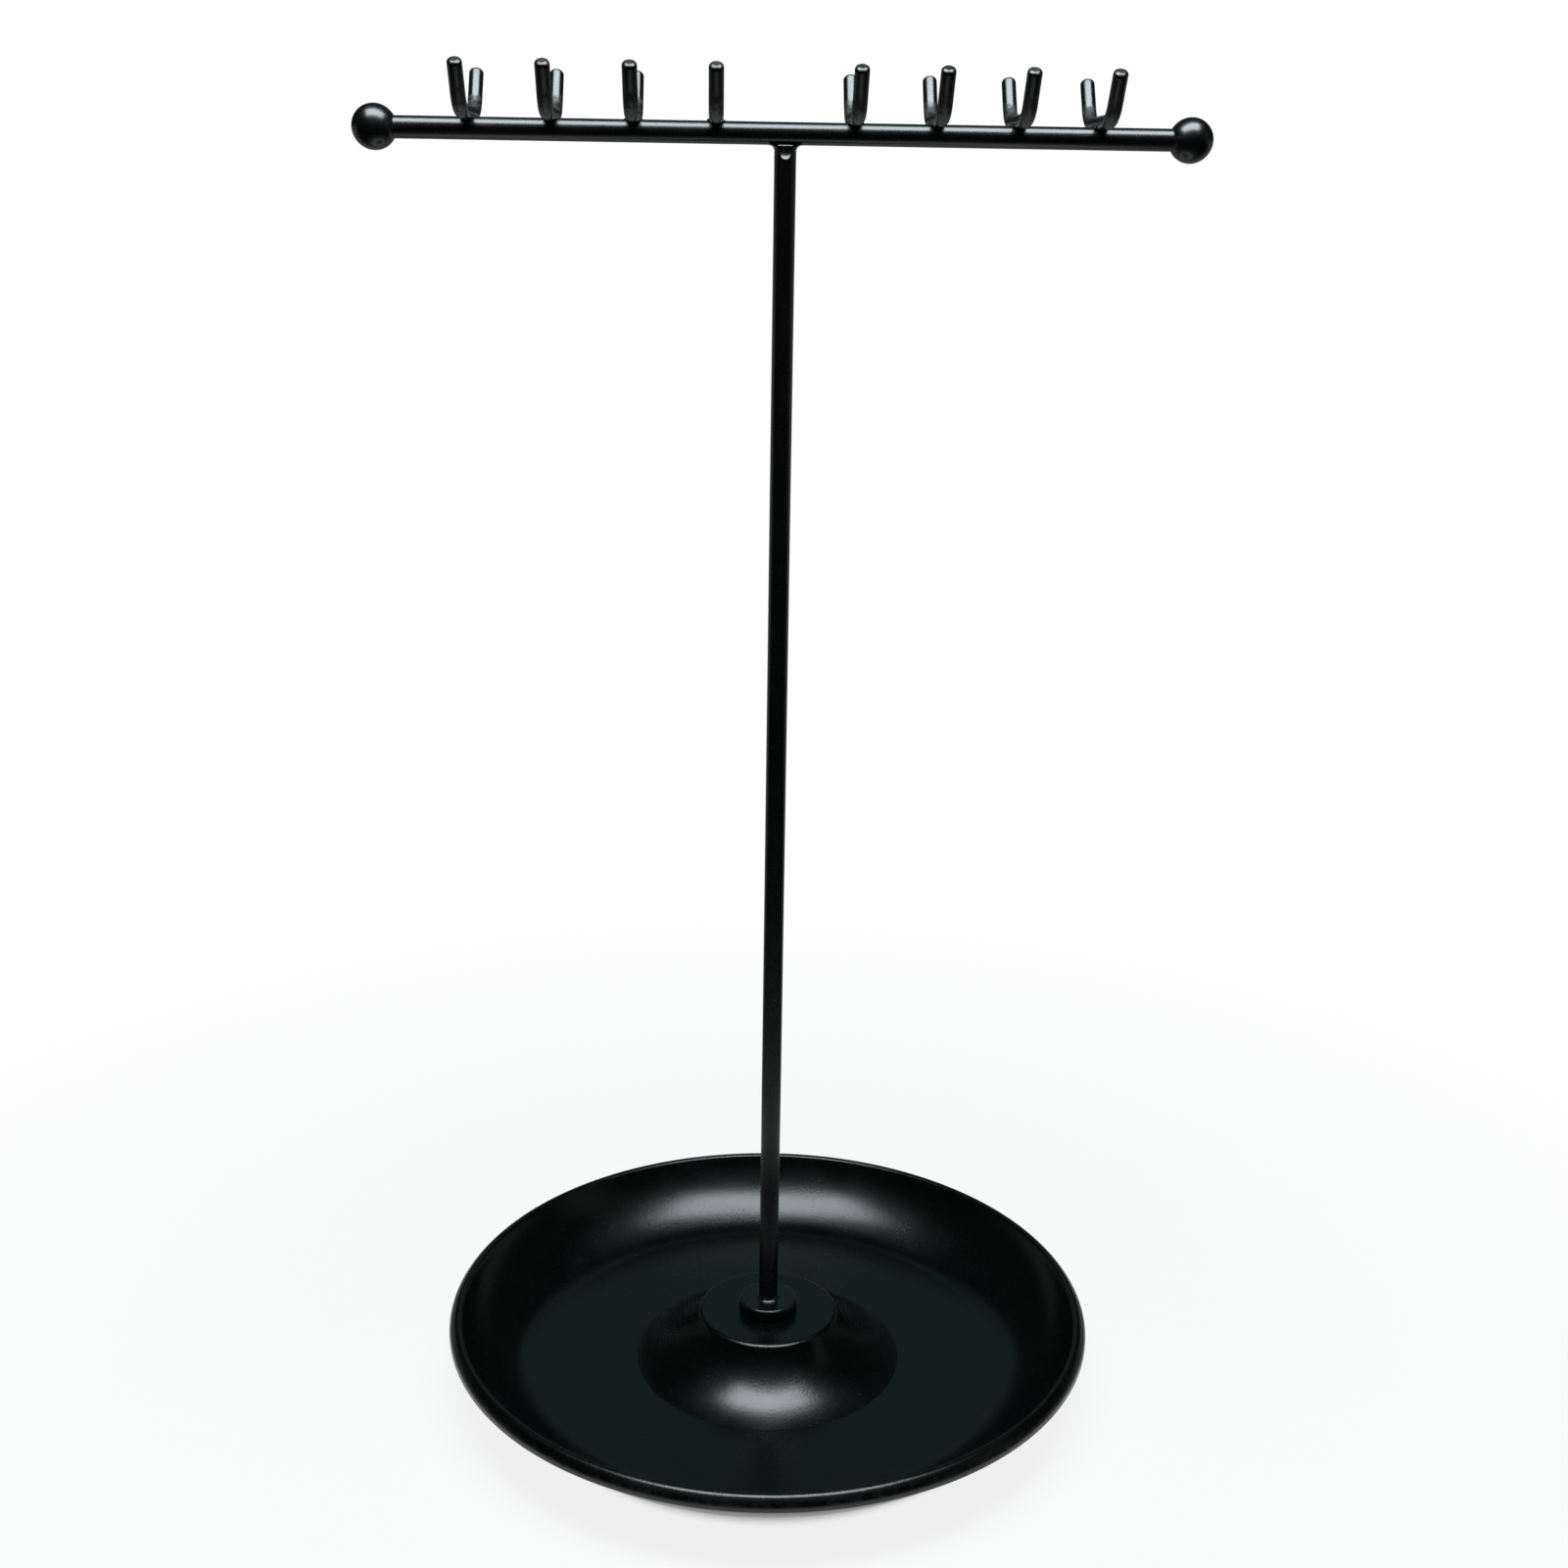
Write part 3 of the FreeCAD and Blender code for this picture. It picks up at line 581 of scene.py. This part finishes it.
def make_balls(finish):
    """End balls turned in one piece with a short weld neck on the crossbar."""
    start = math.asin((ROD_RADIUS + BALL_NECK) / BALL_RADIUS)
    turns = [start + (math.pi - start) * step / BALL_STEPS for step in range(BALL_STEPS + 1)]
    ball = [(BALL_RADIUS * math.sin(turn), -BALL_RADIUS * math.cos(turn)) for turn in turns]
    neck_end = -BALL_RADIUS * math.cos(start) - BALL_NECK
    neck = [
        (0.0, neck_end), (ROD_RADIUS - 0.02, neck_end), (ROD_RADIUS + 0.03, neck_end + 0.1),
        (ROD_RADIUS + 0.1, neck_end + 0.19),
    ]
    whole = bmesh.new()
    for side in (-1, 1):
        place = Matrix.Translation(Vector((side * BALL_PLACE, 0, BAR_AXIS)) * MM)
        mesh = turned(neck + ball, ROD_SEGMENTS, place @ Matrix.Rotation(side * math.pi / 2, 4, "Y"))
        whole.from_mesh(mesh)
        bpy.data.meshes.remove(mesh)
    return finished("end_balls", closed(whole), finish, "mast", "black_coat", "ball_left", "ball_right")


def cradle_points(tree, first, pitch, per_side):
    """Points along the crossbar's axis, one for each cradle."""
    sides = []
    for side in (-1, 1):
        start = add_node(tree, "ShaderNodeCombineXYZ", {"X": maths(tree, "MULTIPLY", first, side)}).outputs[0]
        step = add_node(tree, "ShaderNodeCombineXYZ", {"X": maths(tree, "MULTIPLY", pitch, side)}).outputs[0]
        line = add_node(tree, "GeometryNodeMeshLine", {
            "Count": per_side, "Start Location": start, "Offset": step})
        sides.append(line.outputs[0])
    join = add_node(tree, "GeometryNodeJoinGeometry")
    for line in sides:
        tree.links.new(line, join.inputs[0])
    return join.outputs[0]


def make_cradles(finish):
    """Wire cradles: one bent wire, its ends rounded over, repeated along the crossbar."""
    tree, given = new_shape_tree("wire_cradles", {
        "Wire radius": "Float", "Corner": "Float", "Seat": "Float", "Tip out": "Float", "Tip height": "Float",
        "Bend": "Float", "Tip round": "Float", "First": "Float", "Pitch": "Float", "Per side": "Int",
        "Finish": "Material"})
    line = add_node(tree, "GeometryNodeMeshLine", {"Count": 4}).outputs[0]
    wire = add_node(tree, "GeometryNodeMeshToCurve", {0: line}).outputs[0]
    index = add_node(tree, "GeometryNodeInputIndex").outputs[0]
    from_middle = maths(tree, "SUBTRACT", index, 1.5)
    end = maths(tree, "GREATER_THAN", maths(tree, "ABSOLUTE", from_middle), 1.0)
    side = maths(tree, "SIGN", from_middle)

    def either(at_corner, at_end):
        """One value at the wire's two corners and another at its two ends."""
        gap = maths(tree, "SUBTRACT", at_end, at_corner)
        return maths(tree, "MULTIPLY_ADD", end, gap, at_corner)

    out = maths(tree, "MULTIPLY", side, either(given["Corner"], given["Tip out"]))
    up = either(given["Seat"], given["Tip height"])
    corner = add_node(tree, "ShaderNodeCombineXYZ", {"Y": out, "Z": up}).outputs[0]
    bent = add_node(tree, "GeometryNodeSetPosition", {"Geometry": wire, "Position": corner}).outputs[0]
    fillet = add_node(tree, "GeometryNodeFilletCurve", mode="POLY")
    tree.links.new(bent, fillet.inputs["Curve"])
    tree.links.new(given["Bend"], fillet.inputs["Radius"])
    fillet.inputs["Count"].default_value = 20
    even = add_node(tree, "GeometryNodeResampleCurve", {
        "Curve": fillet.outputs[0], "Count": 250}, mode="COUNT").outputs[0]
    along = add_node(tree, "GeometryNodeSplineParameter").outputs["Length"]
    total = add_node(tree, "GeometryNodeSplineLength").outputs["Length"]
    to_tip = maths(tree, "MINIMUM", along, maths(tree, "SUBTRACT", total, along))
    share = maths(tree, "SUBTRACT", 1.0, maths(tree, "DIVIDE", to_tip, given["Tip round"]), clamp=True)
    dome = maths(tree, "SQRT", maths(tree, "SUBTRACT", 1.0, maths(tree, "MULTIPLY", share, share)))
    flat_part = maths(tree, "SUBTRACT", given["Wire radius"], given["Tip round"])
    radius = maths(tree, "MULTIPLY_ADD", given["Tip round"], dome, flat_part)
    sized = add_node(tree, "GeometryNodeSetCurveRadius", {"Curve": even, "Radius": radius}).outputs[0]
    section = add_node(tree, "GeometryNodeCurvePrimitiveCircle", {"Resolution": 24, "Radius": 1.0}).outputs[0]
    skin = add_node(tree, "GeometryNodeCurveToMesh", {
        "Curve": sized, "Profile Curve": section, "Fill Caps": True})
    if "Scale" in skin.inputs:
        tree.links.new(radius, skin.inputs["Scale"])
    places = cradle_points(tree, given["First"], given["Pitch"], given["Per side"])
    repeated = add_node(tree, "GeometryNodeInstanceOnPoints", {"Points": places, "Instance": skin.outputs[0]})
    end_shape_tree(tree, repeated.outputs[0], given["Finish"])
    tip_drop = ((WIRE_RADIUS - SOLID_TIP_ROUND) * math.cos(PRONG_RISE)
                + SOLID_TIP_ROUND * (1 - math.sin(PRONG_RISE)))
    tip_height = CRADLE_REACH - tip_drop
    bend_end = Vector((HALF_FLAT + BEND_RADIUS * math.sin(PRONG_RISE),
                       CRADLE_SEAT + BEND_RADIUS * (1 - math.cos(PRONG_RISE))))
    mesh = grown(tree, {
        "Wire radius": WIRE_RADIUS * MM,
        "Corner": (HALF_FLAT + BEND_RADIUS * math.tan(PRONG_RISE / 2)) * MM,
        "Seat": (BAR_AXIS + CRADLE_SEAT) * MM,
        "Tip out": (bend_end.x + (tip_height - bend_end.y) / math.tan(PRONG_RISE)) * MM,
        "Tip height": (BAR_AXIS + tip_height) * MM,
        "Bend": BEND_RADIUS * MM,
        "Tip round": TIP_ROUND * MM,
        "First": INNER_CRADLE * MM,
        "Pitch": CRADLE_PITCH * MM,
        "Per side": CRADLES_PER_SIDE,
        "Finish": finish,
    })
    names = [f"hook_{number}" for number in range(1, 2 * CRADLES_PER_SIDE + 1)]
    return finished("wire_cradles", mesh, finish, "mast", "black_coat", *names)


def make_cradle_beads(finish):
    """Small uneven weld beads in the corners between each cradle and the crossbar."""
    tree, given = new_shape_tree("cradle_beads", {
        "Height": "Float", "Side": "Float", "First": "Float", "Pitch": "Float", "Per side": "Int",
        "Unevenness": "Float", "Finish": "Material"})
    blob = add_node(tree, "GeometryNodeMeshIcoSphere", {"Radius": 1.0, "Subdivisions": 4}).outputs[0]
    pair = add_node(tree, "GeometryNodeJoinGeometry")
    for side in (-1, 1):
        beside = maths(tree, "MULTIPLY", given["Side"], side)
        at = add_node(tree, "ShaderNodeCombineXYZ", {"X": beside, "Z": given["Height"]}).outputs[0]
        bead = add_node(tree, "GeometryNodeTransform", {
            "Geometry": blob, "Translation": at, "Scale": [size * MM for size in BEAD_HALF_SIZE]}).outputs[0]
        tree.links.new(bead, pair.inputs[0])
    places = cradle_points(tree, given["First"], given["Pitch"], given["Per side"])
    repeated = add_node(tree, "GeometryNodeInstanceOnPoints", {"Points": places, "Instance": pair.outputs[0]})
    real = add_node(tree, "GeometryNodeRealizeInstances", {"Geometry": repeated.outputs[0]}).outputs[0]
    lumps = add_node(tree, "ShaderNodeTexNoise", {"Scale": 1600.0, "Detail": 1.0}).outputs["Fac"]
    swell = maths(tree, "MULTIPLY", maths(tree, "SUBTRACT", lumps, 0.55), given["Unevenness"])
    normal = add_node(tree, "GeometryNodeInputNormal").outputs[0]
    push = add_node(tree, "ShaderNodeVectorMath", {0: normal}, operation="SCALE")
    tree.links.new(swell, push.inputs["Scale"])
    uneven = add_node(tree, "GeometryNodeSetPosition", {"Geometry": real, "Offset": push.outputs[0]})
    end_shape_tree(tree, uneven.outputs[0], given["Finish"])
    mesh = grown(tree, {
        "Height": (BAR_AXIS + ROD_RADIUS - BEAD_SINK) * MM,
        "Side": BEAD_SIDE * MM,
        "First": INNER_CRADLE * MM,
        "Pitch": CRADLE_PITCH * MM,
        "Per side": CRADLES_PER_SIDE,
        "Unevenness": BEAD_UNEVENNESS * MM,
        "Finish": finish,
    })
    return finished("cradle_beads", mesh, finish, "mast", "black_coat", "hook_welds")


def make_collar_bead(finish):
    """Lumpy weld ring in the corner between collar and post."""
    leg, foot, inside = COLLAR_BEAD_LEG, COLLAR_TOP - COLLAR_BEAD_SINK, ROD_RADIUS - BEAD_UNDERCUT
    hollow = [(ROD_RADIUS + leg * (1 - math.sin(turn)), COLLAR_TOP + leg * (1 - math.cos(turn)))
              for turn in (math.radians(10 * step) for step in range(10))]
    outline = [(inside, foot), (ROD_RADIUS + leg, foot), *hollow, (inside, COLLAR_TOP + leg)]

    def lumpy(radius, height, angle):
        """Small lumps at random and six larger ones round the ring."""
        small = noise.noise(Vector((math.cos(angle), math.sin(angle), 0)) * 4.5)
        large = -0.6 * math.cos(6 * (angle + math.pi / 2))
        swell = 1 + 0.18 * (small + large)
        return (ROD_RADIUS + (radius - ROD_RADIUS) * swell, COLLAR_TOP + (height - COLLAR_TOP) * swell)

    mesh = turned(outline, BEAD_SEGMENTS, shape=lumpy)
    return finished("collar_bead", mesh, finish, "mast", "black_coat", "collar_weld")


# ---------------------------------------------------------------- set

# In metres
FLOOR_GAP = 0.0002
LIGHT_AIM = Vector((0, 0, 0.1))


def make_sweep():
    """White paper on the table, rising to a wall all round. The camera sees it evenly white, but in
    reflections it glows as a painted pool of light round the stand and a dim painted glow low on the wall
    behind, and is dark further off.
    """
    material = bpy.data.materials.new("paper_sweep")
    material.use_nodes = True
    tree = material.node_tree
    tree.nodes.clear()
    place = add_node(tree, "ShaderNodeTexCoord").outputs["Object"]
    away = add_node(tree, "ShaderNodeVectorMath", {0: place}, operation="LENGTH").outputs["Value"]
    path = add_node(tree, "ShaderNodeLightPath").outputs
    axes = add_node(tree, "ShaderNodeSeparateXYZ", {0: place}).outputs
    # Painted light seen only in reflections: a glowing pool round the stand and a dim glow low on the back
    # wall
    painted_light_pool = spread(tree, away, 0.062, 0.105, 0.95, 0.01, soft=True)
    behind = spread(tree, axes["Y"], 0.02, 0.15, 0, 0.24, soft=True)
    behind = maths(tree, "MULTIPLY", behind, spread(tree, axes["Z"], 0.12, 0.3, 1, 0.1, soft=True))
    level = maths(tree, "MAXIMUM", maths(tree, "MAXIMUM", painted_light_pool, behind), path["Is Camera Ray"])
    glow = add_node(tree, "ShaderNodeEmission", {"Color": level, "Strength": 1.0}).outputs[0]
    paper = add_node(tree, "ShaderNodeBsdfDiffuse", {"Color": (0.8, 0.8, 0.8, 1)}).outputs[0]
    seen = maths(tree, "MAXIMUM", path["Is Camera Ray"], path["Is Glossy Ray"])
    seen = maths(tree, "MAXIMUM", seen, path["Is Transmission Ray"])
    near = spread(tree, away, 0.0365, 0.041, 0, 0.86, soft=True)
    far = spread(tree, away, 0.06, 0.25, 0, 0.14, soft=True)
    share = maths(tree, "MULTIPLY", seen, maths(tree, "ADD", near, far))
    mixed = add_node(tree, "ShaderNodeMixShader", {0: share, 1: paper, 2: glow}).outputs[0]
    add_node(tree, "ShaderNodeOutputMaterial", {"Surface": mixed})
    edge, wall, height, bend = 1.7, 2.0, 1.4, 0.3
    profile = [(0.0, 0.0), (0.3, 0.0), (0.8, 0.0), (edge, 0.0)]
    turns = [math.radians(15 * step) for step in range(1, 7)]
    profile += [(edge + bend * math.sin(turn), bend * (1 - math.cos(turn))) for turn in turns]
    profile.append((wall, height))
    shell = bmesh.new()
    spine = [shell.verts.new((radius, 0, rise - FLOOR_GAP)) for radius, rise in profile]
    edges = [shell.edges.new(pair) for pair in zip(spine, spine[1:])]
    bmesh.ops.spin(shell, geom=spine + edges, axis=(0, 0, 1), cent=(0, 0, 0), steps=96, angle=2 * math.pi)
    bmesh.ops.remove_doubles(shell, verts=shell.verts, dist=1e-6)
    for face in shell.faces:
        face.smooth = True
        if face.normal.z < 0:
            face.normal_flip()
    mesh = bpy.data.meshes.new("paper_sweep")
    shell.to_mesh(mesh)
    shell.free()
    mesh.materials.append(material)
    sweep = bpy.data.objects.new("paper_sweep", mesh)
    bpy.context.scene.collection.objects.link(sweep)


def hang_light(name, size, place, radiance, tint=(1.0, 1.0, 1.0)):
    """A flat lamp of even brightness, aimed at the stand and not seen itself."""
    light = bpy.data.lights.new(name, "AREA")
    light.shape = "RECTANGLE"
    light.size, light.size_y = size
    light.color = tint
    light.energy = radiance * math.pi * light.size * light.size_y
    lamp = bpy.data.objects.new(name, light)
    bpy.context.scene.collection.objects.link(lamp)
    lamp.location = place
    lamp.rotation_euler = (LIGHT_AIM - lamp.location).to_track_quat("-Z", "Y").to_euler()
    lamp.visible_camera = False


def make_lights():
    """One softbox close above and a little in front, dim cards behind and at the right, and a dark room."""
    world = bpy.data.worlds.new("room")
    world.use_nodes = True
    world.node_tree.nodes["Background"].inputs["Color"].default_value = (0.004, 0.005, 0.005, 1)
    bpy.context.scene.world = world
    hang_light("softbox", (0.37, 0.18), (0, -0.075, 0.43), 9.7, tint=(0.85, 0.96, 1.0))
    hang_light("back_card", (1.0, 0.55), (0, 1.26, 0.86), 0.148, tint=(0.45, 0.95, 1.0))
    hang_light("side_card", (0.22, 0.5), (0.75, -0.15, 0.3), 0.12)


def make_camera():
    """The photograph's view: slightly above the crossbar, looking down on the dish."""
    focal_px, frame_px = 1982.42, 1601
    pitch, yaw, roll = (math.radians(angle) for angle in (16.85, 2.11, 0.93))
    stand_off = Vector((-9.0, -277.4, 183.51)) * MM
    level = Matrix(((1, 0, 0), (0, 0, -1), (0, 1, 0)))
    tilt = Matrix.Rotation(roll, 3, "Z") @ Matrix.Rotation(pitch, 3, "X") @ Matrix.Rotation(-yaw, 3, "Y")
    look = tilt @ level
    data = bpy.data.cameras.new("camera")
    data.sensor_width = 36
    data.lens = focal_px * data.sensor_width / frame_px
    data.clip_start = 0.01
    camera = bpy.data.objects.new("camera", data)
    bpy.context.scene.collection.objects.link(camera)
    place = Matrix((look[0], -look[1], -look[2])).transposed().to_4x4()
    place.translation = stand_off
    camera.matrix_world = place
    bpy.context.scene.camera = camera


def coat_node(name, finish):
    """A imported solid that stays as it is, with a finish."""
    mesh = nodes[name].data
    mesh.materials.clear()
    mesh.materials.append(finish)


bpy.context.scene.view_settings.view_transform = "Standard"
make_camera()
make_sweep()
make_lights()
dish_coat = black_coat("dish_coat", 1.56, 0.215, 0.7, worn_rings=(RIM_RADIUS,))
mast_coat = black_coat("mast_coat", 1.7, 0.23, 0.12)
cradle_coat = black_coat(
    "cradle_coat", 1.75, 0.24, 0.15, worn_heights=(BAR_AXIS + 7.2, BAR_AXIS + 8.3),
    crusty_bends=(HALF_FLAT - 0.6, BAR_AXIS + 2.2, BAR_AXIS + 5.0))
foam = soft_foam("pad_foam")
zinc = zinc_plate("zinc_plate")
make_dish(dish_coat)
make_foam_ring(foam)
make_post(mast_coat)
make_stud_thread(mast_coat)
make_balls(mast_coat)
make_cradles(cradle_coat)
make_cradle_beads(mast_coat)
make_collar_bead(mast_coat)
for solid in ("crossbar", "bar_weld", "collar"):
    coat_node(solid, mast_coat)
for solid in ("flat_washer", "spring_washer", "hex_nut"):
    coat_node(solid, zinc)
